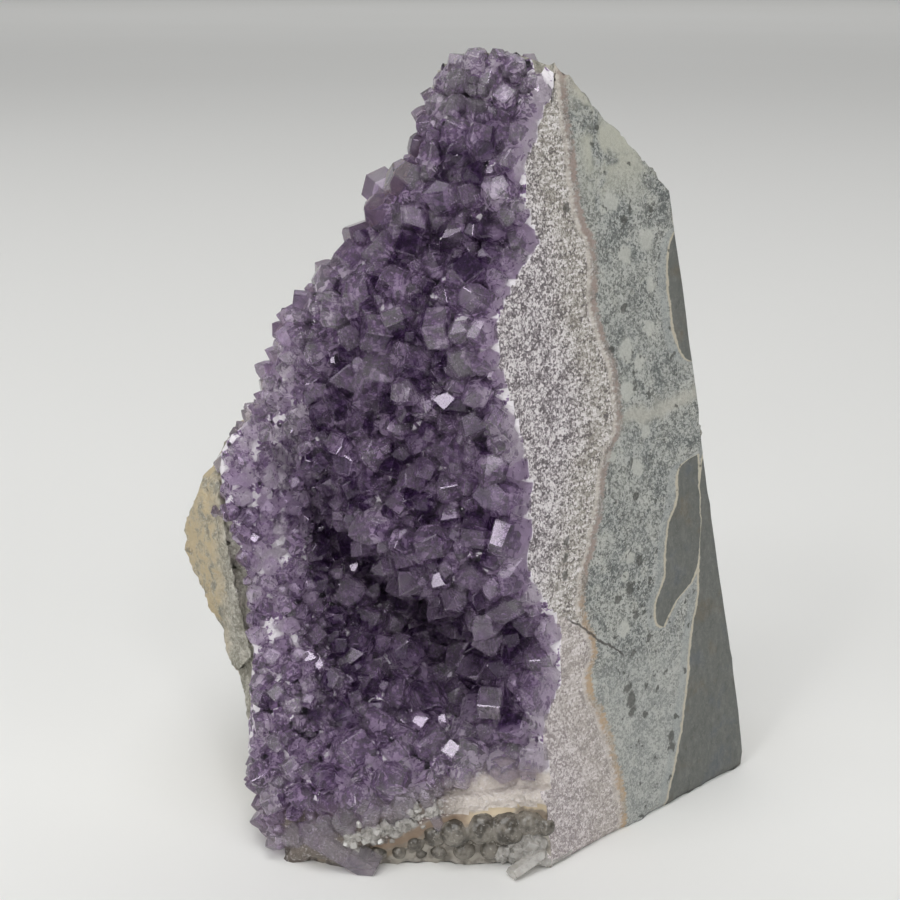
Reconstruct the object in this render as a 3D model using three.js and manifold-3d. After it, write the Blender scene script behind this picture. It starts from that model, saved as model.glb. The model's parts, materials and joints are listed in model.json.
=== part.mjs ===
// Amethyst geode, a free-standing piece of geode wall on a sawn base.
//
// Millimetres, +Z up. Seen from the front (-Y) the crystals face the viewer, the flat sawn
// side faces right and forwards, and the ground basalt back faces away.
// The piece is drawn with the floor at z = 0, and is centred over the origin at the end.
//
// rock_matrix   the geode wall: basalt, agate band and white quartz in one stone
// crystal_crust the amethyst crystals, grown together into one crust that lines the cavity

import * as THREE from 'three';
import { mergeVertices } from 'three/addons/utils/BufferGeometryUtils.js';
import Module from 'manifold-3d';

// Driving dimensions

const TOP_POINT = [-2.7, -14.5, 133];       // highest point of the wall, at the sawn side
const TOP_NORMAL = [0.19, 0.18, 0.965];     // the small cap that slopes gently from it
const BREAK_POINT = [9.3, -4.6, 125];       // the steep break behind the cap
const BREAK_NORMAL = [0.308, 0.608, 0.732];
const SAWN_TURN = 47.25;         // degrees that the sawn side is turned from +X towards -Y
const SAWN_LEAN = 7;             // degrees that the sawn side leans back at its top
const SAWN_FOOT = [6.5, -28.3];  // where the sawn side meets the front, on the floor
const HULL_CENTRE_Y = 6.3;       // the wall's right and left tips lie on this line
const HULL_ROUNDNESS = 2.3;      // exponent of the rounded plan outlines
const CRUST_SKIN = 2.2;          // thickness of the quartz skin that the crystals grow on
const CRUST_GAP = 0.5;           // clearance between crust and rock, along Y
const EDGE_GAP = 0.3;            // clearance round the crust's edge
const CRUST_FLOOR = 0.8;         // the crust ends this far above the floor
const CRYSTAL_SPACING = 6.1;     // least distance between two crystals' feet
const CRYSTAL_RADIUS = [3, 4.8];
const CRYSTAL_RISE = [2.4, 6.4]; // how far a tip stands over the skin
const CRYSTAL_TILT = 0.42;       // random lean of a crystal, as the tangent of an angle
const CRYSTAL_FOOT = 0.55;       // how deep a crystal's foot sits in the skin
const CRYSTAL_TRIES = 9000;      // random places tried for a crystal's foot
const CRYSTAL_FIELD = { left: -60, right: 16, bottom: 2.5, top: 129 };
const SURFACE_FRONT = -90;       // the room in front of the grown surface reaches this far

// Profiles, each a list of [height, distance] read from the floor up

const LEFT_REACH = [
  [-8, 40], [0, 43], [8, 46.5], [16, 48.5], [26, 50.5], [33, 55], [41, 60], [49, 60.5],
  [54, 57.5], [64, 51.5], [68.5, 48.5], [72, 43.5], [84, 39.5], [93, 35.5], [98, 28], [103, 23.5],
  [108.5, 19.5], [115, 17], [123, 15], [131, 13], [142, 11],
];
const RIGHT_REACH = [
  [-8, 44.5], [0, 43.5], [15, 41.4], [28, 39.1], [46, 35.6], [66, 32.3], [85, 29.3],
  [99, 26.5], [111, 24.6], [142, 20],
];
const BACK_REACH = [[-8, 33], [0, 34], [25, 36], [50, 35], [80, 31], [105, 26], [142, 14]];
const FRONT_REACH = 60;          // past the grown surface, which ends the wall at the front

// The edge between the crystals and the sawn side, as [height, depth]
const RIM_DEPTH = [
  [-8, -28.3], [2, -28.3], [8, -28.3], [14, -28.4], [19, -28.4], [25, -27.8], [31, -23.8],
  [37, -22.8], [42, -21.9], [47, -23.9], [53, -25.8], [58, -23.9], [65, -23], [72, -23.2],
  [78, -24], [85, -25.5], [91, -26], [98, -19.9], [102, -15.2], [108, -16.6], [114, -16.4],
  [120, -14.2], [126, -12.2], [133, -10.4], [142, -8],
];

// The grown surface is laid out on rows at the rim's heights and on these columns, as x
const SURFACE_COLUMNS = [-76, -62, -55, -49, -44, -39, -34, -29, -24, -19, -14, -9, -5, -1, 4, 10, 34];

// The wall above the hollow ends in an overhanging lip, as [x, height of the lip]
const LIP_HEIGHT = [
  [-62, 92], [-46, 80], [-42, 75], [-36, 67], [-30, 59], [-20, 50], [-10, 44], [0, 40], [14, 36],
];
const LIP_UNDERCUT = 2.3;        // how fast the wall falls back under its lip
const WALL_TURN = 0.45;          // how fast the wall falls back towards the left
const WALL_TURN_X = -2;          // from this x leftwards
const HOLLOW_SIDE_X = 1;         // the hollow's right side starts here
const HOLLOW_SIDE_SLOPE = 2.6;
const HOLLOW_BACK_Y = 9;

// The shelf under the hollow, and the left wing it runs up into, as [x, value]
const SHELF_FRONT_Y = [[-62, -21], [-48, -24], [-40, -26.5], [-30, -28.2], [14, -28.5]];
const SHELF_FRONT_Z = [[-62, 2], [-42, 2], [-36, 6], [-25, 10], [-10, 12], [14, 12]];
const SHELF_SLOPE = [[-62, 0.24], [-48, 0.27], [-40, 0.38], [-33, 0.7], [-20, 1.2], [-8, 2.2], [14, 2.2]];

// Left of this line the grown surface turns away from the viewer, as [height, x]
const TURN_LINE = [
  [-8, -37], [0, -39], [10, -42], [20, -43], [30, -43.5], [38, -46.5], [52, -49], [61, -49.5],
  [68, -47], [73, -45], [78, -40.5], [88, -36.5], [96, -32.5], [101, -27], [107, -22], [112, -17],
  [118, -14], [125, -12], [142, -9],
];
const TURN_SLOPE = 1.4;
const FILLET = 3.5;              // how softly wall, shelf and hollow run into each other
const SWELL = 1.1;               // height of the uneven lumps on the grown surface
const SWELL_SIZE = 13;

// The crust's edge on the rock, seen from the front, as [x, z]
const CRUST_EDGE = [
  [30, 16], [6, 13.5], [-3, 11], [-13, 10.2], [-22, 9.2], [-29, 6.8], [-34, 4], [-38, CRUST_FLOOR],
  [-52, CRUST_FLOOR], [-52, 22], [-46, 30], [-47.5, 38], [-50, 52], [-51.5, 60], [-70, 64],
  [-70, 150], [30, 150],
];

const ROCK_LUMP = 2.4;           // height of the lumps on the broken outside
const ROCK_LUMP_SIZE = 19;
// Flats ground on the back: degrees from +X towards +Y, distance from the centre line, lean
const BACK_FLATS = [[32, 39.2, 8], [76, 36.2, 4], [118, 39, 3]];
const HULL_LEVEL_STEP = 8;
const HULL_SIDES = 32;
const SEED = 101;

// Helpers

/** Value at t on the line through [position, value] points, level beyond its ends. */
function along(points, t) {
  if (t <= points[0][0]) return points[0][1];
  const last = points[points.length - 1];
  if (t >= last[0]) return last[1];
  const i = points.findIndex(([position]) => position > t);
  const [t0, v0] = points[i - 1];
  const [t1, v1] = points[i];
  return THREE.MathUtils.lerp(v0, v1, (t - t0) / (t1 - t0));
}

/** Smooth minimum, rounded over a width of k. */
function softMin(a, b, k) {
  const h = THREE.MathUtils.clamp(0.5 + (b - a) / (2 * k), 0, 1);
  return THREE.MathUtils.lerp(b, a, h) - k * h * (1 - h);
}

/** Repeatable random numbers from 0 to 1. */
function makeRandom(seed) {
  let state = seed;
  return () => {
    state = (state * 1664525 + 1013904223) % 4294967296;
    return state / 4294967296;
  };
}

/** A fixed random value from -1 to 1 for a whole-numbered cell. */
function cellValue(i, j, k) {
  const wave = Math.sin(i * 127.1 + j * 311.7 + k * 74.7) * 43758.5453;
  return 2 * (wave - Math.floor(wave)) - 1;
}

/** Smooth uneven lumps from -1 to 1, of the given size. */
function lumps(x, y, z, size) {
  const cell = [x, y, z].map((value) => Math.floor(value / size));
  const ease = [x, y, z].map((value, n) => THREE.MathUtils.smoothstep(value / size - cell[n], 0, 1));
  let total = 0;
  for (let corner = 0; corner < 8; corner += 1) {
    const step = [corner & 1, (corner >> 1) & 1, corner >> 2];
    const weight = step.reduce((product, s, n) => product * (s ? ease[n] : 1 - ease[n]), 1);
    total += weight * cellValue(cell[0] + step[0], cell[1] + step[1], cell[2] + step[2]);
  }
  return total;
}

// Solids

const wasm = await Module();
wasm.setup();

function toSolid(geometry) {
  const plain = geometry.clone();
  plain.deleteAttribute('normal');
  plain.deleteAttribute('uv');
  const merged = mergeVertices(plain, 1e-5);
  const vertProperties = new Float32Array(merged.attributes.position.array);
  const triVerts = new Uint32Array(merged.index.array);
  return new wasm.Manifold(new wasm.Mesh({ numProp: 3, vertProperties, triVerts }));
}

function toGeometry(solid) {
  const mesh = solid.getMesh();
  const geometry = new THREE.BufferGeometry();
  geometry.setAttribute('position', new THREE.BufferAttribute(Float32Array.from(mesh.vertProperties), 3));
  geometry.setIndex(new THREE.BufferAttribute(Uint32Array.from(mesh.triVerts), 1));
  return geometry;
}

/** Triangles of a closed shape from rings of points, with both ends capped by fans. */
function loftRings(rings) {
  const sides = rings[0].length;
  const positions = rings.flat(2);
  const index = [];
  for (let ring = 0; ring + 1 < rings.length; ring += 1) {
    for (let i = 0; i < sides; i += 1) {
      const a = ring * sides + i;
      const b = ring * sides + ((i + 1) % sides);
      index.push(a, b, b + sides, a, b + sides, a + sides);
    }
  }
  const capRing = (ring, flip) => {
    const centre = positions.length / 3;
    const sum = rings[ring].reduce((total, point) => total.map((value, n) => value + point[n]), [0, 0, 0]);
    positions.push(...sum.map((value) => value / sides));
    for (let i = 0; i < sides; i += 1) {
      const a = ring * sides + i;
      const b = ring * sides + ((i + 1) % sides);
      index.push(centre, flip ? b : a, flip ? a : b);
    }
  };
  capRing(0, true);
  capRing(rings.length - 1, false);
  const geometry = new THREE.BufferGeometry();
  geometry.setAttribute('position', new THREE.Float32BufferAttribute(positions, 3));
  geometry.setIndex(index);
  return geometry;
}

/** A big box with one face on the plane through point, lying on the side that normal points to. */
function halfSpace(point, normal) {
  const size = 400;
  const geometry = new THREE.BoxGeometry(size, size, size);
  const turn = new THREE.Quaternion().setFromUnitVectors(new THREE.Vector3(0, 0, 1), normal);
  geometry.translate(0, 0, size / 2);
  geometry.applyQuaternion(turn);
  geometry.translate(point.x, point.y, point.z);
  return toSolid(geometry);
}

// The grown surface that the crystals stand on, as a depth y for each x and z

function grownDepth(x, z) {
  const rim = along(RIM_DEPTH, z);
  const fromRim = Math.max(0, WALL_TURN_X - x);
  const underLip = Math.max(0, along(LIP_HEIGHT, x) - z);
  const wall = rim + WALL_TURN * fromRim + LIP_UNDERCUT * underLip;
  const hollowSide = rim + HOLLOW_SIDE_SLOPE * Math.max(0, HOLLOW_SIDE_X - x);
  const shelfRun = Math.max(0, z - along(SHELF_FRONT_Z, x));
  const shelf = along(SHELF_FRONT_Y, x) + along(SHELF_SLOPE, x) * shelfRun;
  const floor = softMin(shelf, hollowSide, FILLET);
  const surface = softMin(softMin(wall, floor, FILLET), HOLLOW_BACK_Y, FILLET);
  const turnedAway = TURN_SLOPE * Math.max(0, along(TURN_LINE, z) - x);
  const swell = SWELL * THREE.MathUtils.smoothstep(fromRim, 0, SWELL_SIZE);
  return surface + turnedAway + swell * lumps(x, 0, z, SWELL_SIZE);
}

/** Outward direction of the grown surface, towards the viewer. */
function grownNormal(x, z) {
  const reach = 1.5;
  const slopeX = (grownDepth(x + reach, z) - grownDepth(x - reach, z)) / (2 * reach);
  const slopeZ = (grownDepth(x, z + reach) - grownDepth(x, z - reach)) / (2 * reach);
  return new THREE.Vector3(slopeX, -1, slopeZ).normalize();
}

/** Everything in front of the grown surface, moved back by offset. */
function spaceInFront(offset) {
  const columnsAt = SURFACE_COLUMNS;
  const rowsAt = RIM_DEPTH.map(([height]) => height);
  const columns = columnsAt.length - 1;
  const rows = rowsAt.length - 1;
  const positions = [];
  const index = [];
  const width = columns + 1;
  for (const isFront of [true, false]) {
    for (const z of rowsAt) {
      for (const x of columnsAt) positions.push(x, isFront ? SURFACE_FRONT : grownDepth(x, z) + offset, z);
    }
  }
  const layer = width * (rows + 1);
  const quad = (a, b, c, d) => index.push(a, b, c, a, c, d);
  for (let row = 0; row < rows; row += 1) {
    for (let column = 0; column < columns; column += 1) {
      const a = row * width + column;
      quad(a, a + 1, a + 1 + width, a + width);
      quad(layer + a, layer + a + width, layer + a + 1 + width, layer + a + 1);
    }
  }
  const wallStrip = (from, to) => quad(from, from + layer, to + layer, to);
  for (let column = 0; column < columns; column += 1) {
    wallStrip(column, column + 1);
    wallStrip(rows * width + column + 1, rows * width + column);
  }
  for (let row = 0; row < rows; row += 1) {
    wallStrip((row + 1) * width, row * width);
    wallStrip(row * width + columns, (row + 1) * width + columns);
  }
  const geometry = new THREE.BufferGeometry();
  geometry.setAttribute('position', new THREE.Float32BufferAttribute(positions, 3));
  geometry.setIndex(index);
  return toSolid(geometry);
}

/** The part of the front that the crust covers, grown at its edge, as a prism along Y. */
function crustWindow(grow) {
  const points = CRUST_EDGE.map(([x, z]) => new THREE.Vector2(x, z));
  const count = points.length;
  const outline = points.map((point, i) => {
    const before = point.clone().sub(points[(i + count - 1) % count]).normalize();
    const after = points[(i + 1) % count].clone().sub(point).normalize();
    const heading = before.add(after).normalize();
    return new THREE.Vector2(point.x - heading.y * grow, point.y + heading.x * grow);
  });
  const depth = 2 * Math.abs(SURFACE_FRONT);
  const geometry = new THREE.ExtrudeGeometry(new THREE.Shape(outline), { depth, bevelEnabled: false });
  geometry.rotateX(Math.PI / 2);
  geometry.translate(0, depth / 2, 0);
  return toSolid(geometry);
}

// The outside of the wall: rounded plan outlines, one above another

function hullRing(z) {
  const power = 2 / HULL_ROUNDNESS;
  const ring = [];
  for (let i = 0; i < HULL_SIDES; i += 1) {
    const angle = (i / HULL_SIDES) * 2 * Math.PI;
    const across = Math.cos(angle);
    const back = Math.sin(angle);
    const reachX = along(across > 0 ? RIGHT_REACH : LEFT_REACH, z);
    const reachY = back > 0 ? along(BACK_REACH, z) : FRONT_REACH;
    const x = reachX * Math.sign(across) * Math.abs(across) ** power;
    const y = HULL_CENTRE_Y + reachY * Math.sign(back) * Math.abs(back) ** power;
    const rough = ROCK_LUMP * THREE.MathUtils.clamp(back + 0.35, 0, 1) * Math.min(1, 1 - across);
    const lump = rough * lumps(x, y, z, ROCK_LUMP_SIZE);
    ring.push([x + lump * across, y + lump * back, z]);
  }
  return ring;
}

function makeHull() {
  const rings = [];
  for (let z = -HULL_LEVEL_STEP; z <= TOP_POINT[2] + HULL_LEVEL_STEP; z += HULL_LEVEL_STEP) {
    rings.push(hullRing(z));
  }
  return toSolid(loftRings(rings));
}

// Planes that end the wall

const turn = THREE.MathUtils.degToRad(SAWN_TURN);
const lean = THREE.MathUtils.degToRad(SAWN_LEAN);
const sawnNormal = new THREE.Vector3(
  Math.cos(lean) * Math.cos(turn),
  -Math.cos(lean) * Math.sin(turn),
  Math.sin(lean),
);
const sawnFoot = new THREE.Vector3(SAWN_FOOT[0], SAWN_FOOT[1], 0);
const sawnOff = halfSpace(sawnFoot, sawnNormal);
const belowFloor = halfSpace(new THREE.Vector3(0, 0, 0), new THREE.Vector3(0, 0, -1));
const topOff = halfSpace(new THREE.Vector3(...TOP_POINT), new THREE.Vector3(...TOP_NORMAL).normalize());
const topBreak = halfSpace(new THREE.Vector3(...BREAK_POINT), new THREE.Vector3(...BREAK_NORMAL).normalize());
const backFlats = BACK_FLATS.map(([direction, distance, leanBack]) => {
  const round = THREE.MathUtils.degToRad(direction);
  const tilt = THREE.MathUtils.degToRad(leanBack);
  const outward = new THREE.Vector3(Math.cos(round), Math.sin(round), 0);
  const point = outward.clone().multiplyScalar(distance).add(new THREE.Vector3(0, HULL_CENTRE_Y, 0));
  const normal = outward.multiplyScalar(Math.cos(tilt)).add(new THREE.Vector3(0, 0, Math.sin(tilt)));
  return halfSpace(point, normal);
});

// Crystals

/** A six-sided crystal standing on the origin along +Z, with a six-sided point. */
function crystalGeometry(radius, foot, shoulder, tip, random) {
  const ring = (z) => Array.from({ length: 6 }, (_, i) => {
    const angle = (i / 6) * 2 * Math.PI;
    return [radius * Math.cos(angle), radius * Math.sin(angle), z];
  });
  const lower = ring(foot);
  const upper = ring(shoulder);
  const positions = [...lower, ...upper].flat();
  positions.push((random() - 0.5) * radius / 2, (random() - 0.5) * radius / 2, tip);
  const index = [0, 2, 1, 0, 3, 2, 0, 4, 3, 0, 5, 4];
  for (let i = 0; i < 6; i += 1) {
    const next = (i + 1) % 6;
    index.push(i, next, next + 6, i, next + 6, i + 6, i + 6, next + 6, 12);
  }
  const geometry = new THREE.BufferGeometry();
  geometry.setAttribute('position', new THREE.Float32BufferAttribute(positions, 3));
  geometry.setIndex(index);
  return geometry;
}

/** Feet of the crystals, no two nearer than the spacing, over the window's whole area. */
function crystalFeet(random) {
  const feet = [];
  for (let n = 0; n < CRYSTAL_TRIES; n += 1) {
    const x = THREE.MathUtils.lerp(CRYSTAL_FIELD.left, CRYSTAL_FIELD.right, random());
    const z = THREE.MathUtils.lerp(CRYSTAL_FIELD.bottom, CRYSTAL_FIELD.top, random());
    const foot = new THREE.Vector3(x, grownDepth(x, z), z);
    if (feet.every((other) => other.distanceTo(foot) > CRYSTAL_SPACING)) feet.push(foot);
  }
  return feet;
}

function inWindow(x, z) {
  let inside = false;
  for (let i = 0, j = CRUST_EDGE.length - 1; i < CRUST_EDGE.length; j = i, i += 1) {
    const [x1, z1] = CRUST_EDGE[i];
    const [x2, z2] = CRUST_EDGE[j];
    if ((z1 > z) !== (z2 > z) && x < x1 + ((x2 - x1) * (z - z1)) / (z2 - z1)) inside = !inside;
  }
  return inside;
}

/** Whether a point of the grown surface lies on the wall's own front, not past its edges. */
function onWall(foot) {
  const ahead = (HULL_CENTRE_Y - foot.y) / FRONT_REACH;
  const narrowing = (1 - Math.max(0, ahead) ** HULL_ROUNDNESS) ** (1 / HULL_ROUNDNESS);
  const reach = along(LEFT_REACH, foot.z) * narrowing;
  return foot.x > CRYSTAL_FOOT - reach && foot.clone().sub(sawnFoot).dot(sawnNormal) < 1;
}

function makeCrystals() {
  const random = makeRandom(SEED);
  const solids = [];
  for (const foot of crystalFeet(random)) {
    const radius = THREE.MathUtils.lerp(...CRYSTAL_RADIUS, random() ** 1.6);
    const rise = THREE.MathUtils.lerp(...CRYSTAL_RISE, random()) * (radius / CRYSTAL_RADIUS[0]) ** 0.5;
    const leaning = new THREE.Vector3(random() - 0.5, 0, random() - 0.5).multiplyScalar(2 * CRYSTAL_TILT);
    const spin = random() * Math.PI;
    const shoulder = Math.max(CRYSTAL_FOOT, rise - radius);
    const geometry = crystalGeometry(radius, -CRYSTAL_FOOT, shoulder, rise, random);
    if (!inWindow(foot.x, foot.z) || !onWall(foot)) continue;
    const direction = grownNormal(foot.x, foot.z).add(leaning).normalize();
    const upright = new THREE.Vector3(0, 0, 1);
    geometry.rotateZ(spin);
    geometry.applyQuaternion(new THREE.Quaternion().setFromUnitVectors(upright, direction));
    geometry.translate(foot.x, foot.y, foot.z);
    solids.push(toSolid(geometry));
  }
  return wasm.Manifold.union(solids);
}

// The two pieces

const hull = makeHull();
const cuts = [sawnOff, belowFloor, topOff, topBreak, ...backFlats];
const wall = cuts.reduce((body, cut) => body.subtract(cut), hull);
const inFront = spaceInFront(0);
const crustRoom = spaceInFront(CRUST_SKIN + CRUST_GAP).intersect(crustWindow(EDGE_GAP));
const rock = wall.subtract(inFront).subtract(crustRoom);

const crustBack = spaceInFront(CRUST_SKIN);
const skin = crustBack.subtract(inFront).intersect(crustWindow(0)).intersect(wall);
const aboveFloor = halfSpace(new THREE.Vector3(0, 0, CRUST_FLOOR), new THREE.Vector3(0, 0, 1));
const crystals = makeCrystals().intersect(crustBack).subtract(sawnOff).intersect(aboveFloor);
const crust = skin.add(crystals).subtract(rock);

function largestBody(solid) {
  return solid.decompose().reduce((best, body) => (body.volume() > best.volume() ? body : best));
}

const rockGeometry = toGeometry(largestBody(rock));
const crustGeometry = toGeometry(largestBody(crust));

// Centre the piece over the origin, with its base on z = 0
rockGeometry.computeBoundingBox();
crustGeometry.computeBoundingBox();
const box = rockGeometry.boundingBox.clone().union(crustGeometry.boundingBox);
const centre = box.getCenter(new THREE.Vector3());
for (const geometry of [rockGeometry, crustGeometry]) {
  geometry.translate(-centre.x, -centre.y, 0);
  geometry.computeVertexNormals();
}

const rockMaterial = new THREE.MeshStandardMaterial({
  color: 0xa3a49c,
  roughness: 0.85,
  metalness: 0,
  flatShading: true,
});
const crustMaterial = new THREE.MeshStandardMaterial({
  color: 0x5b3a78,
  roughness: 0.18,
  metalness: 0,
  flatShading: true,
});

const rockMesh = new THREE.Mesh(rockGeometry, rockMaterial);
rockMesh.name = 'rock_matrix';
const crustMesh = new THREE.Mesh(crustGeometry, crustMaterial);
crustMesh.name = 'crystal_crust';

const geode = new THREE.Group();
geode.name = 'amethyst_geode';
geode.add(rockMesh, crustMesh);

export default geode;
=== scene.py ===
"""Amethyst geode on a sawn base: a stone with its cut side, and the crystals that line its front.

Every length here is in millimetres and turned to metres when a mesh is made. The frame is the
packed one: +X right, +Y away from the viewer, +Z up, floor at zero.
"""
import json
import math

import bpy
import numpy as np
from mathutils import Matrix, Vector, noise
from mathutils.bvhtree import BVHTree
from mathutils.kdtree import KDTree

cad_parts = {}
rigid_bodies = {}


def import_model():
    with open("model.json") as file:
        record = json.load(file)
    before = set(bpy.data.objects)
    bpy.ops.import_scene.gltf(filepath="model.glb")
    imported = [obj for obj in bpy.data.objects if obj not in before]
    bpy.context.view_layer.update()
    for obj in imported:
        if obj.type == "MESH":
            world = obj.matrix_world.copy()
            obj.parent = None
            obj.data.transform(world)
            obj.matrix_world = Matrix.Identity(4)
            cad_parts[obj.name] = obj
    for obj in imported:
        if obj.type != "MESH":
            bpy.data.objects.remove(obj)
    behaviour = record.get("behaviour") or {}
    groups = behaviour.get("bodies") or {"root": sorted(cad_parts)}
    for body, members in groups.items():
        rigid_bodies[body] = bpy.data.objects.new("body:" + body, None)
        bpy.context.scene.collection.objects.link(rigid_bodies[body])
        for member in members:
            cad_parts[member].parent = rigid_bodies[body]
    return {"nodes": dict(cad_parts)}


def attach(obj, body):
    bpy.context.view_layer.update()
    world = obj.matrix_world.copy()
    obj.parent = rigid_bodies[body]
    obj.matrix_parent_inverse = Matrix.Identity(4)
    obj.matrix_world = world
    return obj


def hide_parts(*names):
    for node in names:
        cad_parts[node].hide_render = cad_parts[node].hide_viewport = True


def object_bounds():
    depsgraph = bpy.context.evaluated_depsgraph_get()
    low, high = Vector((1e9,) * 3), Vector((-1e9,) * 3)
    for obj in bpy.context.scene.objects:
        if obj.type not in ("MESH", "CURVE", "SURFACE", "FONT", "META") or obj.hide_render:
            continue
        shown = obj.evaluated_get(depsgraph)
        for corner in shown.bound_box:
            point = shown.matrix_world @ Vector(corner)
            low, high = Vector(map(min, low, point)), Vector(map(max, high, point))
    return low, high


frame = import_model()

CAD_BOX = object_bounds()
MM = 0.001

# The sawn side: a point at its foot, its turn from +X towards -Y and its lean, in degrees
SAWN_FOOT = (14.898, -32.757, 0.0)
SAWN_TURN = 47.25
SAWN_LEAN = 7.0

STONE_VOXEL = 0.8          # grain of the stone's mesh
SKIN_RISE = 1.9            # the quartz skin that fills the stone out to the crystals' feet
UNDER_CRUST = 1.0          # stone closer than this to the crust lies under the crystals

CRYSTAL_SEED = 7
SHAFT = 6.0                # length of a crystal template's shaft, in radii
SAWN_SETBACK = 0.06        # the crystals are cut this little behind the sawn side
CRYSTAL_LIFT = 0.1         # and this far above the floor
BLOCK_SPARE = (2, 2, 1)    # how much larger than the CAD box the crystals' room is
TEMPLATES = 10
TIP_DEPTH = 1.9            # least depth below its tip, in radii, so that a shaft keeps its form
TIP_SLOPE = 51.8           # degrees that quartz tip faces stand from the level
FOOT_DEPTH = 1.2           # how deep a crystal's foot sits in the skin
WORN_EDGE = 0.05           # width of the bevel along a tip's edges, in radii
THIN_STONE = 1.9           # widest crystal on the wing
THIN_RIM = 2.6             # and up the thin left edge and at the top
LOW_FOOT = 14.0            # crystals lower than this don't hang
QUARTZ_IOR = 1.544

# The left edge of the crystals on the wing, as (height, least x of a foot)
CRYSTAL_EDGE = (
    (0, -34), (10, -36), (21, -35), (29, -34.5), (35, -35), (43, -36), (48, -37.5), (54, -39),
    (60, -40.5), (66, -39), (72, -36), (80, -32), (140, -32))

# How high the tips may stand, as (x, height): the round outline of the top
TIP_CEILING = (
    (-40, 100), (-16, 104), (-12, 110), (-8.5, 117), (-6.8, 122), (-5, 126), (-2, 129.6),
    (2, 131.4), (6, 130.6), (9, 127.5), (12, 124), (16, 119))

# The crystals' lower edge above the broken foot, as (x, least height of a foot)
CRYSTAL_FLOOR = (
    (-50, 0.8), (-36, 0.8), (-31, 1.8), (-26, 4.8), (-21, 7.6), (-13, 10.2), (-3, 12.8), (6, 15.2),
    (12, 16.5), (20, 17.5))

# The crystals' outline up the left, as (height, x)
LEFT_RIDGE = ((60, -36), (75, -33), (90, -24), (105, -15), (118, -9), (131, -4))


# Small helpers

def rgb(red, green, blue):
    """A colour written as 0 to 255 screen values, as linear light with alpha."""
    def linear(value):
        value /= 255
        return value / 12.92 if value <= 0.04045 else ((value + 0.055) / 1.055) ** 2.4
    return (linear(red), linear(green), linear(blue), 1.0)


def deselect():
    for piece in bpy.context.scene.objects:
        piece.select_set(False)


def make_active(piece):
    deselect()
    piece.select_set(True)
    bpy.context.view_layer.objects.active = piece


def piece_from(name, points, faces):
    """A mesh object from points in metres."""
    mesh = bpy.data.meshes.new(name)
    mesh.from_pydata(points, [], faces)
    piece = bpy.data.objects.new(name, mesh)
    bpy.context.collection.objects.link(piece)
    return piece


def points_of(piece):
    """The piece's points in millimetres."""
    flat = np.empty(len(piece.data.vertices) * 3)
    piece.data.vertices.foreach_get("co", flat)
    return flat.reshape(-1, 3) / MM


def move_points(piece, points):
    piece.data.vertices.foreach_set("co", (points * MM).ravel())
    piece.data.update()


def normals_of(piece):
    flat = np.empty(len(piece.data.vertices) * 3, dtype=np.float32)
    piece.data.vertex_normals.foreach_get("vector", flat)
    return flat.reshape(-1, 3).astype(float)


def edges_of(piece):
    flat = np.empty(len(piece.data.edges) * 2, dtype=np.int64)
    piece.data.edges.foreach_get("vertices", flat)
    return flat.reshape(-1, 2)


def smoothed(values, edges, rounds):
    """Values averaged with their neighbours' a few times over."""
    count = np.bincount(edges.ravel(), minlength=len(values)).astype(float)
    count[count == 0] = 1
    for _ in range(rounds):
        total = np.zeros_like(values)
        np.add.at(total, edges[:, 0], values[edges[:, 1]])
        np.add.at(total, edges[:, 1], values[edges[:, 0]])
        average = total / (count if values.ndim == 1 else count[:, None])
        values = 0.5 * values + 0.5 * average
    return values


def unit(vectors):
    length = np.linalg.norm(vectors, axis=-1, keepdims=True)
    return vectors / np.maximum(length, 1e-9)


def grain(points, size, seed, octaves=3):
    """Uneven swells about -1 to 1, of that size in millimetres."""
    shift = Vector((seed * 17.3, seed * 5.1, seed * 9.7))
    return np.array([
        noise.fractal(Vector(p) / size + shift, 1.0, 2.0, octaves, noise_basis="PERLIN_ORIGINAL")
        for p in points
    ])


def ramp(values, low, high):
    """0 below low, 1 above high, soft between; low may be the larger."""
    share = np.clip((values - low) / (high - low), 0, 1)
    return share * share * (3 - 2 * share)


def set_attribute(piece, name, values):
    attribute = piece.data.attributes.new(name, "FLOAT", "POINT")
    attribute.data.foreach_set("value", np.asarray(values, dtype=np.float32))


def tree_of(piece):
    mesh = piece.data
    return BVHTree.FromPolygons(
        [v.co.copy() for v in mesh.vertices], [tuple(f.vertices) for f in mesh.polygons])


def nearest(tree, points):
    """Distance in millimetres from each point to the tree's surface."""
    return np.array([tree.find_nearest(Vector(p * MM))[3] for p in points]) / MM


def sawn_normal():
    turn, lean = math.radians(SAWN_TURN), math.radians(SAWN_LEAN)
    return np.array([
        math.cos(turn) * math.cos(lean), -math.sin(turn) * math.cos(lean), math.sin(lean)])


def past_sawn(points):
    """How far points stand out of the sawn side."""
    return (points - np.array(SAWN_FOOT)) @ sawn_normal()


# The stone

def merged_copy(node, name):
    piece = frame["nodes"][node].copy()
    piece.data = piece.data.copy()
    piece.name = piece.data.name = name
    for key in list(piece.keys()):
        del piece[key]
    piece.parent = None
    piece.matrix_world = Matrix.Identity(4)
    bpy.context.collection.objects.link(piece)
    make_active(piece)
    bpy.ops.object.mode_set(mode="EDIT")
    bpy.ops.mesh.select_all(action="SELECT")
    bpy.ops.mesh.remove_doubles(threshold=0.01 * MM)
    bpy.ops.object.mode_set(mode="OBJECT")
    return piece


def broken_share(points, normals):
    """1 on broken stone: the wing's outside, the front's foot, the top, the left's thin edge."""
    stray = 8 * grain(points, 17.0, 8)
    left_front = np.maximum(
        ramp(points[:, 1] - 0.35 * points[:, 0] + stray, 18, 6),
        ramp(points[:, 0] + 0.5 * stray, -33, -38))
    top = ramp(points[:, 2] + stray, 99, 106) * ramp(normals[:, 2], 0.2, 0.45)
    return np.maximum(left_front, top)


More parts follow.
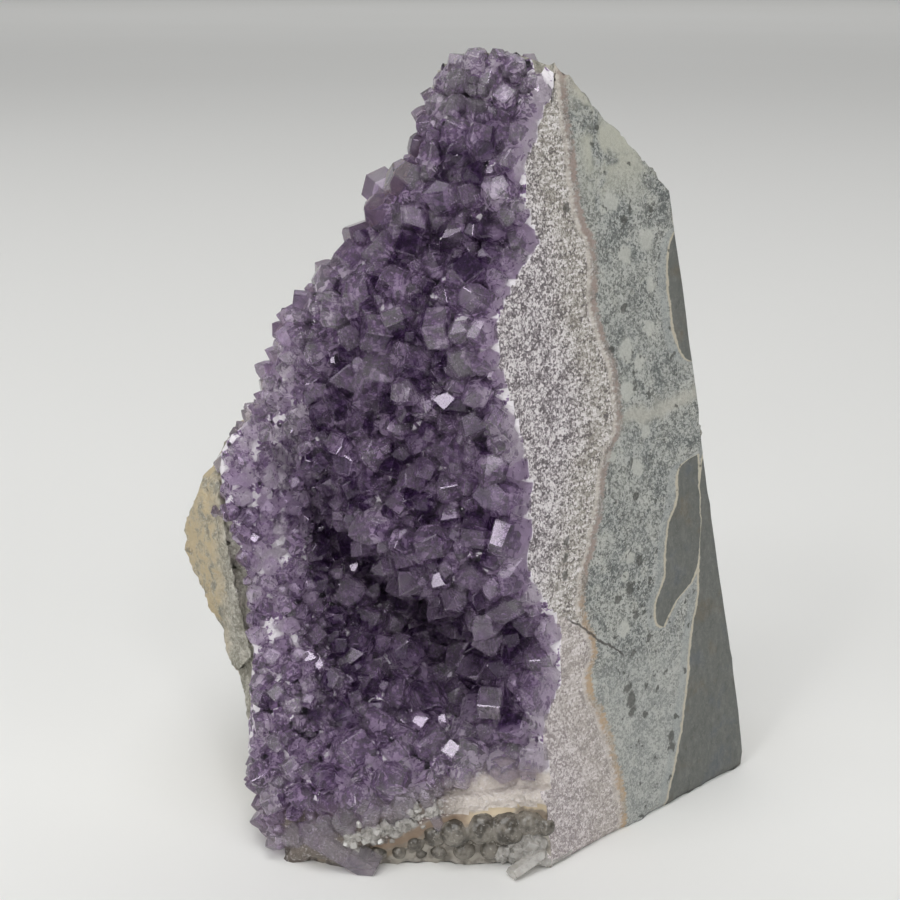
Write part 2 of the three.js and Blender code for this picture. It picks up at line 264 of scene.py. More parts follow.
def stone_relief(points, crust, broken):
    """How far the stone rises: a lumpy skin up to the crystals' feet, chips, a faint grain."""
    skin = (SKIN_RISE * ramp(points[:, 2], 124, 112) + 0.45 * grain(points, 4.0, 1)) * crust
    chipped = (1 - crust) * broken
    chips = 0.9 * grain(points, 6.5, 2, 4) - 1.1 * np.abs(grain(points, 3.2, 3))
    ground = 1 - np.maximum(crust, chipped)
    return skin + chipped * chips + ground * (0.12 * grain(points, 5.0, 4) - 0.1)


def flatten(points, edges, on_sawn, on_base):
    """The sawn side and the base made flat again, with an even rim and a chipped foot."""
    out = past_sawn(points)
    points -= np.where(on_sawn | (out > 0), out, 0)[:, None] * sawn_normal()
    on_rim = np.zeros(len(points), dtype=bool)
    across = edges[on_sawn[edges[:, 0]] != on_sawn[edges[:, 1]]].ravel()
    on_rim[across[on_sawn[across]]] = True
    rim_edges = edges[on_rim[edges].all(axis=1)]
    on_rim[:] = False
    on_rim[rim_edges.ravel()] = True
    points[on_rim] = smoothed(points, rim_edges, 14)[on_rim]
    chipped_to = 1.6 + 1.2 * grain(points, 7.0, 6)
    worn = ramp(points[:, 2], chipped_to, 0) * ramp(past_sawn(points), -2.4, -0.6)
    points -= (0.9 * worn)[:, None] * sawn_normal()
    points[on_base, 2] = 0
    points[:, 2] = np.maximum(points[:, 2], 0)


def build_stone(crust_tree):
    """The stone, and for each of its points how far it lies under the crystals, 0 to 1."""
    stone = merged_copy("rock_matrix", "geode_stone")
    stone.data.materials.clear()
    stone.data.remesh_voxel_size = STONE_VOXEL * MM
    bpy.ops.object.voxel_remesh()
    points, edges = points_of(stone), edges_of(stone)
    on_sawn = past_sawn(points) > -0.55
    on_base = points[:, 2] < 0.5
    under = nearest(crust_tree, points) < UNDER_CRUST
    under &= points[:, 0] > np.interp(points[:, 2], *zip(*CRYSTAL_EDGE)) - 2.2
    crust = smoothed(under.astype(float), edges, 4)
    normals = unit(smoothed(normals_of(stone), edges, 8))
    # Inside a flat nothing moves; along its edges the points may slide with the outline
    slide = np.where(on_sawn, ramp(1 - normals @ sawn_normal(), 0.02, 0.2), 1)
    slide = slide * np.where(on_base, ramp(1 + normals[:, 2], 0.02, 0.2), 1)
    broken = broken_share(points, normals)
    points = points + normals * (stone_relief(points, crust, broken) * slide)[:, None]
    # Under the crystals of the top the skin follows the round outline
    ceiling = np.interp(points[:, 0], *zip(*TIP_CEILING)) - 1.2
    over = np.where((points[:, 2] > 108) & (crust > 0.1), points[:, 2] - ceiling, 0)
    points[:, 2] -= 0.8 * np.maximum(over, 0) * ramp(crust, 0.1, 0.5)
    flatten(points, edges, on_sawn, on_base)
    move_points(stone, points)
    set_attribute(stone, "crust", crust)
    set_attribute(stone, "broken", broken)
    wing = ramp(points[:, 0], -25, -33) * ramp(points[:, 2], 24, 36)
    rim = ramp(past_sawn(points), -4, -0.5)
    # The low front's share of this paleness is painted light, as if it faced up into the lamps
    shelf_painted_light = ramp(points[:, 2], 36, 18)
    set_attribute(stone, "pale", np.clip(0.6 * rim + 0.4 * wing + 0.1 * shelf_painted_light, 0, 1))
    return stone, crust


def stone_zones(stone, crust):
    """One finish for each kind of surface, chosen face by face."""
    mesh = stone.data
    finishes = (sawn_side(), outer_stone(), quartz_skin(), front_foot())
    sawn, outer, skin, foot = range(len(finishes))
    for finish in finishes:
        mesh.materials.append(finish)
    points = points_of(stone)
    normal = sawn_normal()
    for face in mesh.polygons:
        face.use_smooth = True
        corners = list(face.vertices)
        centre = points[corners].mean(axis=0)
        # Near the floor the sawn side is chipped, so there it takes in steeper faces
        low = centre[2] < 4
        facing = float(np.dot(np.array(face.normal), normal)) > (0.55 if low else 0.9)
        if facing and past_sawn(centre) > (-1.4 if low else -0.4):
            face.material_index = sawn
        elif crust[corners].mean() > (0.7 if centre[0] < -33 else 0.2):
            face.material_index = skin
        elif centre[1] < -20 and centre[2] < 18 and face.normal.y < 0.2:
            face.material_index = foot
        else:
            face.material_index = outer


# The crystals

def crystal_template(number, draw):
    """A six-sided crystal with its tip at the origin: a shaft bevelled by three broad faces
    and three narrower ones, as quartz grows. Radius 1, so it is scaled when it is placed."""
    deselect()
    bpy.ops.mesh.primitive_cylinder_add(
        vertices=6, radius=1, depth=SHAFT, location=(0, 0, -SHAFT / 2))
    template = bpy.context.object
    template.name = f"crystal_template_{number}"
    bpy.ops.object.transform_apply(location=True, rotation=True, scale=True)
    bpy.ops.object.mode_set(mode="EDIT")
    slope = math.radians(TIP_SLOPE)
    for side in range(6):
        bearing = math.radians(60 * side + 30)
        broad = side % 2 == 0
        back = draw.uniform(*((-0.12, 0.08) if broad else (0.02, 0.14 + 0.05 * number)))
        level = math.sin(slope)
        outward = Vector((level * math.cos(bearing), level * math.sin(bearing), math.cos(slope)))
        bpy.ops.mesh.select_all(action="SELECT")
        bpy.ops.mesh.bisect(
            plane_co=outward * back - Vector((0, 0, 0.16)), plane_no=outward, use_fill=True,
            clear_outer=True)
    bpy.ops.mesh.select_all(action="SELECT")
    bpy.ops.mesh.remove_doubles(threshold=0.004)
    bpy.ops.mesh.normals_make_consistent(inside=False)
    bpy.ops.mesh.select_all(action="DESELECT")
    bpy.ops.object.mode_set(mode="OBJECT")
    for edge in template.data.edges:
        edge.select = all(template.data.vertices[k].co.z > -SHAFT / 2 for k in edge.vertices)
    bpy.ops.object.mode_set(mode="EDIT")
    bpy.ops.mesh.select_mode(type="EDGE")
    bpy.ops.mesh.bevel(offset=WORN_EDGE, segments=1)
    bpy.ops.mesh.select_mode(type="VERT")
    bpy.ops.object.mode_set(mode="OBJECT")
    points = np.array([v.co[:] for v in template.data.vertices])
    faces = [tuple(f.vertices) for f in template.data.polygons]
    bpy.data.objects.remove(template)
    points[:, 2] -= points[:, 2].max()
    return points, faces


# Sizes of crystals: least and most radius, least and most height in radii, tries, and how close
# they stand, in summed radii
CRYSTAL_SIZES = (
    ((2.8, 3.9), (1.1, 1.8), 2400, 0.80),
    ((2.0, 2.8), (1.2, 2.0), 6000, 0.71),
    ((1.0, 1.8), (1.3, 2.4), 6000, 0.62))
UNDER_SHARE = 0.22         # crystals stand where the stone is under the crust by more than this


def aimed(foot, way, height, radius):
    """A crystal's direction, turned so that nothing cuts it flat; None where it can't stand."""
    if foot[2] < LOW_FOOT:
        way = unit(np.array([way[0], way[1], max(way[2], -0.1)]))
    clear = 0.45 * radius
    if past_sawn(foot) > -clear:
        return None
    # Close to the sawn side and to the top they fan away
    over = past_sawn(foot + way * height * radius) + clear
    if over > 0:
        way = unit(way - sawn_normal() * min(over / (height * radius), 1.2))
    headroom = (np.interp(foot[0], *zip(*TIP_CEILING)) - foot[2]) / (height * radius)
    if foot[2] > 100 and way[2] > headroom:
        climb = max(headroom, -0.3)
        flat = unit(np.array([0.4 * way[0], way[1] - 0.4, 0]))
        way = flat * math.sqrt(1 - climb ** 2) + [0, 0, climb]
    if way[2] < -0.7 or (foot[2] > 100 and headroom < -0.3):
        return None
    return way


def crystal_places(stone, crust, draw):
    """Feet, directions, radii and tip heights, largest crystals first."""
    points = points_of(stone)
    normals = unit(smoothed(normals_of(stone), edges_of(stone), 14))
    stone.data.calc_loop_triangles()
    corners = np.array([t.vertices[:] for t in stone.data.loop_triangles])
    share = crust[corners].mean(axis=1)
    a, b, c = (points[corners[:, k]] for k in range(3))
    area = np.linalg.norm(np.cross(b - a, c - a), axis=1) / 2
    chance = area * np.where(share > UNDER_SHARE, 1, 0)
    chance /= chance.sum()
    placed = []
    grid = {}
    cell = 6.0

    def room(foot, radius, closeness):
        key = tuple((foot // cell).astype(int))
        for i in (-1, 0, 1):
            for j in (-1, 0, 1):
                for k in (-1, 0, 1):
                    for other in grid.get((key[0] + i, key[1] + j, key[2] + k), ()):
                        limit = closeness * (radius + placed[other][2])
                        if np.sum((placed[other][0] - foot) ** 2) < limit * limit:
                            return False
        return True

    for radii, tall, tries, closeness in CRYSTAL_SIZES:
        chosen = draw.choice(len(corners), size=tries, p=chance)
        weights = draw.dirichlet((1, 1, 1), size=tries)
        for pick, weight in zip(chosen, weights):
            foot = weight @ points[corners[pick]]
            radius = min(draw.uniform(*radii) * size_at(foot), widest_at(foot))
            lean = draw.normal(size=3) * draw.uniform(0.1, 0.5)
            height = draw.uniform(*tall)
            turn = draw.uniform(0, 2 * math.pi)
            squeeze = draw.uniform(0.82, 1.12)
            kind = int(draw.integers(TEMPLATES))
            edge = np.interp(foot[2], *zip(*CRYSTAL_EDGE)) - (0 if radius > 2 else 1.6)
            if foot[0] < edge or foot[2] < np.interp(foot[0], *zip(*CRYSTAL_FLOOR)):
                continue
            if not room(foot, radius, closeness):
                continue
            way = aimed(foot, unit(weight @ normals[corners[pick]] + lean), height, radius)
            if way is None:
                continue
            key = tuple((foot // cell).astype(int))
            grid.setdefault(key, []).append(len(placed))
            placed.append((foot, way, radius, height * radius, turn, squeeze, kind))
    return placed


def size_at(foot):
    """Crystals are smaller towards the top and on the left wing."""
    top = 1 - 0.22 * ramp(foot[2], 95, 130)
    wing = 1 - 0.2 * ramp(foot[0], -24, -38)
    return top * wing


def widest_at(foot):
    """Where the stone is thin a crystal stays slight, or its shaft would come out behind."""
    if foot[2] > 14 and foot[0] < -26:
        return THIN_STONE
    return THIN_RIM if foot[0] < -22 or foot[2] > 112 else math.inf


def paleness_and_painted_light(points):
    """Where the crystals are lilac to white: the wing, the rims and the top. The low front is made
    paler as painted light, as if facing up into the lamps, and the left outline as painted light
    showing through it.
    """
    x, z = points[:, 0], points[:, 2]
    wing = ramp(x, -24, -33) * ramp(z, 22, 34) * ramp(z, 88, 72)
    rim = ramp(past_sawn(points), -5, -0.5)
    shelf_painted_light = ramp(z, 34, 16)
    right_shelf_painted_light = ramp(x, -8, 6) * ramp(z, 25, 16)
    top = ramp(z, 117, 129)
    ridge_painted_light = ramp(x - np.interp(z, *zip(*LEFT_RIDGE)), 7, 1) * ramp(z, 66, 74)
    lip = ramp(z - np.interp(x, *zip(*CRYSTAL_FLOOR)), 7, 1)
    # The low front's and the left outline's shares are painted light, not the crystals' own colour
    return np.clip(
        0.4 * wing + 0.4 * rim + 0.3 * shelf_painted_light + 0.3 * right_shelf_painted_light + 0.5 * top + 0.55 * lip
        + 0.4 * ridge_painted_light, 0, 1)


def shade_faces(crystals, places, draw):
    """Each crystal has its own depth of colour, and each of its facets a little of its own."""
    steps = (0.25, 0.6, 0.95)
    tree = KDTree(len(places) * len(steps))
    for number, (foot, way, _, height, *_) in enumerate(places):
        for k, step in enumerate(steps):
            tree.insert(foot + way * height * step, number * len(steps) + k)
    tree.balance()
    own = draw.beta(1.5, 2.4, size=len(places))
    satin = draw.beta(0.7, 2.5, size=len(places))
    shades, frosts = [], []
    points = points_of(crystals)
    for face in crystals.data.polygons:
        centre = points[list(face.vertices)].mean(axis=0)
        crystal = tree.find(centre)[1] // len(steps)
        turned = sum(round(3 * c) * k for c, k in zip(face.normal, (7.1, 3.7, 5.3)))
        facet = math.sin(crystal * 12.9 + turned)
        shades.append(own[crystal] + 0.14 * facet)
        frosts.append(satin[crystal] * (0.6 + 0.4 * facet))
    for name, values in (("shade", shades), ("frost", frosts)):
        attribute = crystals.data.attributes.new(name, "FLOAT", "FACE")
        attribute.data.foreach_set("value", np.clip(values, 0, 1).astype(np.float32))


def placed_crystal(templates, place, depth=FOOT_DEPTH):
    foot, way, radius, height, turn, squeeze, kind = place
    shape, faces = templates[kind]
    points = shape * np.array([radius, radius * squeeze, radius])
    bottom = shape[:, 2] < 0.2 - SHAFT
    points[bottom, 2] = -max(height + depth, TIP_DEPTH * radius)
    spin = np.array(Matrix.Rotation(turn, 3, "Z"))
    aim = np.array(Vector(way).to_track_quat("Z", "Y").to_matrix())
    return points @ (aim @ spin).T + foot + way * height, faces


def layers_without_touch(places):
    """Crystals sorted into layers, so that no two in a layer touch."""
    low = np.array([p[0] - p[1] * FOOT_DEPTH for p in places])
    high = np.array([p[0] + p[1] * p[3] for p in places])
    radius = np.array([p[2] for p in places])
    samples = np.stack([low + (high - low) * t for t in np.linspace(0, 1, 4)], axis=1)
    middle, reach = (low + high) / 2, np.linalg.norm(high - low, axis=1) / 2 + radius
    layers = []
    layer_of = np.full(len(places), -1)
    for i in range(len(places)):
        near = np.nonzero(
            np.linalg.norm(middle[:i] - middle[i], axis=1) < reach[:i] + reach[i])[0]
        taken = set()
        if len(near):
            gaps = np.linalg.norm(
                samples[near][:, :, None, :] - samples[i][None, None, :, :],
                axis=3).min(axis=(1, 2))
            step = np.linalg.norm(high[near] - low[near], axis=1) / 6 + 0.35
            touching = near[gaps < radius[near] + radius[i] + step]
            taken = set(layer_of[touching])
        number = 0
        while number in taken:
            number += 1
        layer_of[i] = number
        if number == len(layers):
            layers.append([])
        layers[number].append(i)
    return layers


def boolean(piece, other, operation):
    make_active(piece)
    cut = piece.modifiers.new(operation.lower(), "BOOLEAN")
    cut.operation = operation
    cut.solver = "MANIFOLD"
    cut.object = other
    bpy.ops.object.modifier_apply(modifier=cut.name)
    bpy.data.objects.remove(other)
    return piece


def joined(name, solids):
    points, faces, start = [], [], 0
    for solid, sides in solids:
        points.append(solid * MM)
        faces += [tuple(start + k for k in side) for side in sides]
        start += len(solid)
    return piece_from(name, np.concatenate(points).tolist(), faces)


def clip_block():
    """The room the crystals may fill: above the floor, behind the sawn side, inside the CAD box."""
    deselect()
    low, high = (np.array(CAD_BOX[k]) / MM for k in (0, 1))
    low[2] = CRYSTAL_LIFT + BLOCK_SPARE[2] / 2
    size, centre = high - low, (high + low) / 2
    bpy.ops.mesh.primitive_cube_add(size=1, location=tuple(centre * MM))
    block = bpy.context.object
    block.scale = tuple((size + np.array(BLOCK_SPARE)) * MM)
    bpy.ops.object.transform_apply(location=True, rotation=True, scale=True)
    bpy.ops.object.mode_set(mode="EDIT")
    bpy.ops.mesh.select_all(action="SELECT")
    foot = np.array(SAWN_FOOT) - sawn_normal() * SAWN_SETBACK
    bpy.ops.mesh.bisect(
        plane_co=tuple(foot * MM), plane_no=tuple(sawn_normal()), use_fill=True, clear_outer=True)
    bpy.ops.object.mode_set(mode="OBJECT")
    return block


def build_crystals(stone, crust, templates, draw):
    places = crystal_places(stone, crust, draw)
    layers = layers_without_touch(places)
    solids = [
        joined("crystals", [placed_crystal(templates, places[i]) for i in layer])
        for layer in layers]
    while len(solids) > 1:
        pairs = [solids[k:k + 2] for k in range(0, len(solids), 2)]
        solids = [boolean(*pair, "UNION") if len(pair) == 2 else pair[0] for pair in pairs]
    crystals = boolean(solids[0], clip_block(), "INTERSECT")
    crystals.name = crystals.data.name = "amethyst_crystals"
    rise = nearest(tree_of(stone), points_of(crystals))
    set_attribute(crystals, "rise", np.clip(rise / 6, 0, 1))
    set_attribute(crystals, "pale", paleness_and_painted_light(points_of(crystals)))
    shade_faces(crystals, places, draw)
    crystals.data.materials.clear()
    crystals.data.materials.append(amethyst())
    return crystals


# The broken foot of the front: chalcedony beads and quartz tufts

# Beads along the foot, as (x, height, radius)
BEADS = (
    (-19.0, 2.4, 2.3), (-15.6, 2.2, 1.7), (-12.2, 2.2, 1.3), (-9.4, 3.6, 1.7), (-6.2, 5.0, 2.3),
    (-2.6, 6.0, 2.8), (1.6, 6.6, 3.0), (5.8, 6.4, 3.3), (9.8, 7.6, 2.6), (12.2, 7.2, 1.8),
    (-1.2, 2.6, 2.0), (3.2, 2.6, 2.0), (-5.4, 2.0, 1.5), (-8.6, 1.4, 1.2))
BEAD_VOXEL = 0.28
# Clusters of small quartz crystals, as (x, height, spread, how many, radius)
TUFTS = (
    (7.5, 3.2, 2.2, 30, 1.15), (10.4, 2.8, 2.0, 34, 1.3), (12.4, 3.2, 1.8, 30, 1.15),
    (9.4, 5.0, 1.4, 14, 0.9), (12.8, 1.6, 1.5, 18, 1.0), (5.2, 1.6, 1.4, 14, 0.8),
    (-20.0, 6.0, 1.7, 26, 0.6), (-17.0, 6.6, 1.7, 28, 0.65), (-14.0, 7.2, 1.7, 28, 0.65),
    (-11.0, 7.8, 1.7, 26, 0.65), (-9.5, 9.8, 1.6, 24, 0.6), (-6.5, 10.2, 1.3, 16, 0.6))


def on_front(tree, x, height):
    """The stone's front surface straight behind (x, height), and its normal."""
    hit, normal, _, _ = tree.ray_cast(Vector((x, -80, height)) * MM, Vector((0, 1, 0)))
    return (None, None) if hit is None else (np.array(hit) / MM, np.array(normal))


def build_beads(tree):
    """Round grey beads run together into one botryoidal lump."""
    solids = []
    deselect()
    bpy.ops.mesh.primitive_ico_sphere_add(subdivisions=3, radius=1)
    ball = bpy.context.object
    round_points = np.array([v.co[:] for v in ball.data.vertices])
    round_faces = [tuple(f.vertices) for f in ball.data.polygons]
    bpy.data.objects.remove(ball)
    for x, height, radius in BEADS:
        foot, _ = on_front(tree, x, height)
        centre = foot + np.array([0, 0.35 * radius, 0])
        size = np.array([radius, radius, 0.92 * radius])
        solids.append((round_points * size + centre, round_faces))
    beads = joined("chalcedony_beads", solids)
    make_active(beads)
    beads.data.remesh_voxel_size = BEAD_VOXEL * MM
    bpy.ops.object.voxel_remesh()
    points = points_of(beads)
    points += normals_of(beads) * (0.22 * grain(points, 3.6, 5))[:, None]
    points[:, 2] = np.maximum(points[:, 2], 0.1)
    move_points(beads, points)
    beads.data.materials.clear()
    beads.data.materials.append(chalcedony())
    for face in beads.data.polygons:
        face.use_smooth = True
    return beads


def build_tufts(tree, templates, draw):
    solids = []
    for x, height, spread, count, size in TUFTS:
        for _ in range(count):
            offset = draw.normal(size=2) * spread * 0.5
            foot, normal = on_front(tree, x + offset[0], max(0.9, height + offset[1]))
            if foot is None or past_sawn(foot) > -0.8:
                continue
            way = unit(0.7 * normal + np.array([0, -0.5, 0.1]) + draw.normal(size=3) * 0.45)
            radius = size * draw.uniform(0.6, 1.3)
            tall = draw.uniform(0.9, 1.9)
            place = (foot, way, radius, tall * radius, draw.uniform(0, 6.3), draw.uniform(0.8, 1.1),
                     int(draw.integers(TEMPLATES)))
            ends = np.array([foot + way * tall * radius, foot - way * radius])
            if past_sawn(ends).max() > -0.6 * radius:
                continue
            points, faces = placed_crystal(templates, place, radius)
            points[:, 2] = np.maximum(points[:, 2], 0.1)
            solids.append((points, faces))
    tufts = joined("quartz_tufts", solids)
    tufts.data.materials.append(clear_quartz())
    return tufts


# Finishes

class Finish:
    """A material under construction; every length its nodes read is in millimetres."""

    def __init__(self, name):
        self.material = bpy.data.materials.new(name)
        self.material.use_nodes = True
        self.tree = self.material.node_tree
        self.tree.nodes.clear()
        place = self.add("ShaderNodeTexCoord").outputs["Object"]
        scaled = self.add("ShaderNodeVectorMath", operation="SCALE")
        self.tree.links.new(place, scaled.inputs[0])
        scaled.inputs["Scale"].default_value = 1 / MM
        self.place = scaled.outputs[0]

    def add(self, kind, inputs=None, **settings):
        made = self.tree.nodes.new(kind)
        for key, value in settings.items():
            setattr(made, key, value)
        for key, value in (inputs or {}).items():
            self.give(made.inputs[key], value)
        return made

    def give(self, socket, value):
        if isinstance(value, bpy.types.NodeSocket):
            self.tree.links.new(value, socket)
        else:
            socket.default_value = value

    def math(self, operation, *values):
        made = self.add("ShaderNodeMath", operation=operation)
        for socket, value in zip(made.inputs, values):
            self.give(socket, value)
        return made.outputs[0]

    def plus(self, first, second):
        return self.math("ADD", first, second)

    def minus(self, first, second):
        return self.math("SUBTRACT", first, second)

    def times(self, first, second):
        return self.math("MULTIPLY", first, second)

    def mix(self, share, first, second):
        made = self.add("ShaderNodeMix", data_type="RGBA")
        self.give(made.inputs["Factor"], share)
        self.give(made.inputs[6], first)
        self.give(made.inputs[7], second)
        return made.outputs[2]

    def between(self, value, low, high, first, second):
        """The first colour where value is under low, the second over high."""
        return self.mix(self.step(value, low, high), rgb(*first), rgb(*second))

    def over(self, colour, where, strength, paint):
        """The colour with paint laid over it, where `where` is 1 and that strongly."""
        return self.mix(self.times(where, strength), colour, paint)

    def washed(self, colour, *washes):
        """The colour under washes of (value, none below, full above, strength, paint)."""
        for value, low, high, strength, paint in washes:
            colour = self.over(colour, self.step(value, low, high), strength, rgb(*paint))
        return colour

    def noise(self, size, detail=2.0, rough=0.5, place=None, warp=0.0):
        made = self.add("ShaderNodeTexNoise", {
            "Vector": place or self.place, "Scale": 1 / size, "Detail": detail, "Roughness": rough,
            "Distortion": warp})
        return made.outputs[0]

    def step(self, value, low, high):
        """0 where value is under low, 1 over high, soft between; low may be the larger."""
        made = self.add("ShaderNodeMapRange", {
            "Value": value, "From Min": low, "From Max": high, "To Min": 0.0, "To Max": 1.0},
            interpolation_type="SMOOTHSTEP")
        return made.outputs[0]

    def band(self, value, low, high, soft):
        """1 between low and high, 0 outside."""
        return self.times(
            self.step(value, low - soft, low + soft),
            self.minus(1.0, self.step(value, high - soft, high + soft)))

    def drawn(self, value, line, reach_in, reach_out):
        """A line given as (position, distance) points, read at value."""
        made = self.add("ShaderNodeFloatCurve")
        curve = made.mapping.curves[0]
        made.mapping.use_clip = False
        for number, (at, level) in enumerate(sorted(line)):
            # A new curve has two points already
            point = curve.points[number] if number < 2 else curve.points.new(0, 0)
            point.location = (at / reach_in, level / reach_out)
            point.handle_type = "AUTO"
        made.mapping.update()
        self.give(made.inputs["Value"], self.math("DIVIDE", value, reach_in))
        return self.times(made.outputs[0], reach_out)

    def spots(self, place, wanted):
        """1 inside any of the listed (across, height, radius) spots, 0 outside."""
        best = 0.0
        for across, height, radius in wanted:
            far = self.add("ShaderNodeVectorMath", {0: place, 1: (across, height, 0.0)},
                           operation="DISTANCE").outputs["Value"]
            best = self.math("MAXIMUM", best, self.step(far, radius * 1.3, radius * 0.75))
        return best

    def axis(self, letter):
        return self.add("ShaderNodeSeparateXYZ", {0: self.place}).outputs[letter]

    def attribute(self, name):
        return self.add("ShaderNodeAttribute", attribute_name=name).outputs["Fac"]

    def bump(self, height, strength, distance):
        return self.add("ShaderNodeBump", {
            "Height": height, "Strength": strength, "Distance": distance * MM}).outputs[0]

    def close(self, colour, roughness, normal=None, **plain):
        shader = self.add("ShaderNodeBsdfPrincipled")
        self.give(shader.inputs["Base Color"], colour)
        self.give(shader.inputs["Roughness"], roughness)
        if normal is not None:
            self.give(shader.inputs["Normal"], normal)
        for name, value in plain.items():
            self.give(shader.inputs[name.replace("_", " ")], value)
        self.out = self.add("ShaderNodeOutputMaterial")
        self.tree.links.new(shader.outputs[0], self.out.inputs["Surface"])
        return self.material


# Places on the sawn side are (across, height): across runs level along it from its front foot
FACE_ALONG = (0.734, 0.679, 0.0)
FACE_START = 11.27
FACE_WIDTH = 60.0
FACE_HEIGHT = 135.0

# Lines drawn on it, as (height, across)
AGATE_LINE = (
    (0, 15.9), (4.7, 15.9), (14.7, 14.2), (22.5, 11.9), (29, 9.3), (34, 11.3), (40.6, 9.4),
    (45, 9.4), (53, 12.9), (58, 14.8), (67, 17.9), (70, 20.6), (80, 20.5), (90, 17.1), (101, 17.2),
    (105, 15.2), (110, 14), (116, 13.8), (122, 13), (127.5, 12.6), (133, 12))
BASALT_LINE = (
    (0, 28), (1.6, 28.4), (10, 32.2), (18, 34.5), (23, 36.1), (27.6, 36.8), (35, 39.3), (40, 40.3),
    (50, 41.6), (59, 42.6), (64, 46), (68, 52), (76, 52), (78.5, 40.5), (82, 37.6), (88, 36.6),
    (95, 36.3), (99.7, 37.5), (102, 41), (106, 52), (133, 52))
# A second patch of basalt in front of the first, between two lines
PATCH_FRONT = (
    (0, 50), (31, 46), (32.8, 31), (34, 28.6), (36, 28.1), (42, 30.7), (49, 32.1), (56, 35.5),
    (59.5, 35.9), (61.5, 39), (63, 50), (133, 50))
PATCH_BACK = ((0, 29), (32, 29.5), (36, 32.4), (41, 39.6), (45, 40.9), (61, 41.6), (133, 41.6))
# Pale clots, and pits darkened with painted shade, in the grey layer, as (across, height, radius)
CLOTS = (
    (23.1, 107.8, 1.7), (21.3, 106.8, 1.2), (24.1, 83, 1.7), (27.7, 80.7, 1.4), (31.4, 93.7, 1.2),
    (22.1, 47.6, 1.3), (20.5, 44.5, 1.1), (19.8, 36.0, 1.2), (25.5, 99, 1.6), (24.0, 76.0, 1.5),
    (31.0, 101, 1.8), (30.5, 86, 1.3), (25.5, 63, 1.5), (19, 66, 1.1), (28, 69, 1.2))
PITS = (
    (19.5, 24.8, 0.9), (20.1, 22.6, 1.0), (20.3, 20.6, 0.9), (18.5, 41.5, 0.8), (21.6, 42, 0.9),
    (22.8, 37.8, 0.8), (24.6, 46.6, 0.9), (21.4, 30.4, 0.6), (6, 48.7, 0.7), (7, 53.6, 0.8),
    (6.4, 51, 0.6), (23.5, 18.8, 0.6), (30.3, 12.4, 0.9), (30.3, 10.8, 0.8), (24.5, 90, 0.8),
    (21, 84, 0.7), (29.5, 74.5, 0.6), (26, 104, 0.8), (24.6, 58, 0.8), (12.2, 108, 0.7))


class SawnSide(Finish):
    """The cut side: quartz at the rim, the agate, a grey layer, and basalt at the back."""

    def __init__(self):
        super().__init__("sawn_side")
        along = self.add("ShaderNodeVectorMath", {0: self.place, 1: FACE_ALONG},
                         operation="DOT_PRODUCT").outputs["Value"]
        self.height = self.axis("Z")
        self.across = self.plus(along, FACE_START)
        self.wander = self.minus(self.noise(5.0, 3.0), 0.5)
        self.fine_wander = self.minus(self.noise(0.9, 2.0), 0.5)
        wavy = self.plus(self.across, self.times(self.wander, 1.8))
        self.wavy = self.plus(wavy, self.times(self.fine_wander, 0.6))
        self.agate = self.behind(AGATE_LINE)
        patch = self.math(
            "MINIMUM", self.behind(PATCH_FRONT), self.times(self.behind(PATCH_BACK), -1.0))
        self.basalt_depth = self.math("MAXIMUM", self.behind(BASALT_LINE), patch)
        # Grains: each its own brightness, broken up by a finer salt
        cells = self.add("ShaderNodeTexVoronoi", {"Vector": self.place, "Scale": 1 / 0.4})
        cell = self.add("ShaderNodeSeparateColor", {0: cells.outputs["Color"]}).outputs[0]
        speck = self.plus(self.times(cell, 0.35), self.noise(0.24, 2.0, 0.7))
        self.speck = self.plus(speck, self.times(self.noise(2.6, 3.0, 0.6), 0.5))
        self.swirl = self.noise(7.0, 3.0, 0.6, warp=0.6)
        self.blotch = self.noise(3.2, 3.0, 0.65, warp=0.8)
        self.streaks = self.level_streaks()

    def behind(self, line):
        """How far each place lies behind a line drawn on the face."""
        return self.minus(self.wavy, self.drawn(self.height, line, FACE_HEIGHT, FACE_WIDTH))

    def level_streaks(self):
        """Fine level striations, a third of a millimetre apart."""
        flat = self.add("ShaderNodeCombineXYZ", {
            "X": self.times(self.wavy, 0.16), "Y": self.height}).outputs[0]
        return self.step(self.noise(0.55, 1.0, 0.5, place=flat), 0.45, 0.6)


def shaken_places(f):
    """Places on the face, unsettled a little so that round spots come out ragged."""
    return f.add("ShaderNodeCombineXYZ", {
        "X": f.plus(f.across, f.times(f.fine_wander, 2.2)),
        "Y": f.plus(f.height, f.times(f.wander, 4.0))}).outputs[0]


def face_quartz(f):
    """Between the rim and the agate: lilac-grey salt and pepper, creamier at the agate."""
    colour = f.between(f.agate, -14.0, -3.0, (160, 152, 156), (182, 177, 167))
    colour = f.washed(
        colour, (f.speck, 0.93, 1.05, 0.9, (238, 233, 234)),
        (f.speck, 0.90, 0.76, 0.9, (88, 80, 84)))
    near_agate = f.band(f.agate, -7.0, 3.2, 1.6)
    colour = f.over(colour, f.times(f.streaks, near_agate), 0.45, rgb(146, 139, 129))
    swept = f.plus(f.times(f.across, 0.8), f.times(f.height, 0.55))
    swept = f.add("ShaderNodeCombineXYZ", {"X": swept}).outputs[0]
    saw_marks = f.step(f.noise(0.7, 1.0, 0.5, place=swept), 0.46, 0.60)
    saw_marks = f.times(saw_marks, f.step(f.height, 30.0, 22.0))
    return f.over(colour, saw_marks, 0.35, rgb(136, 130, 122))


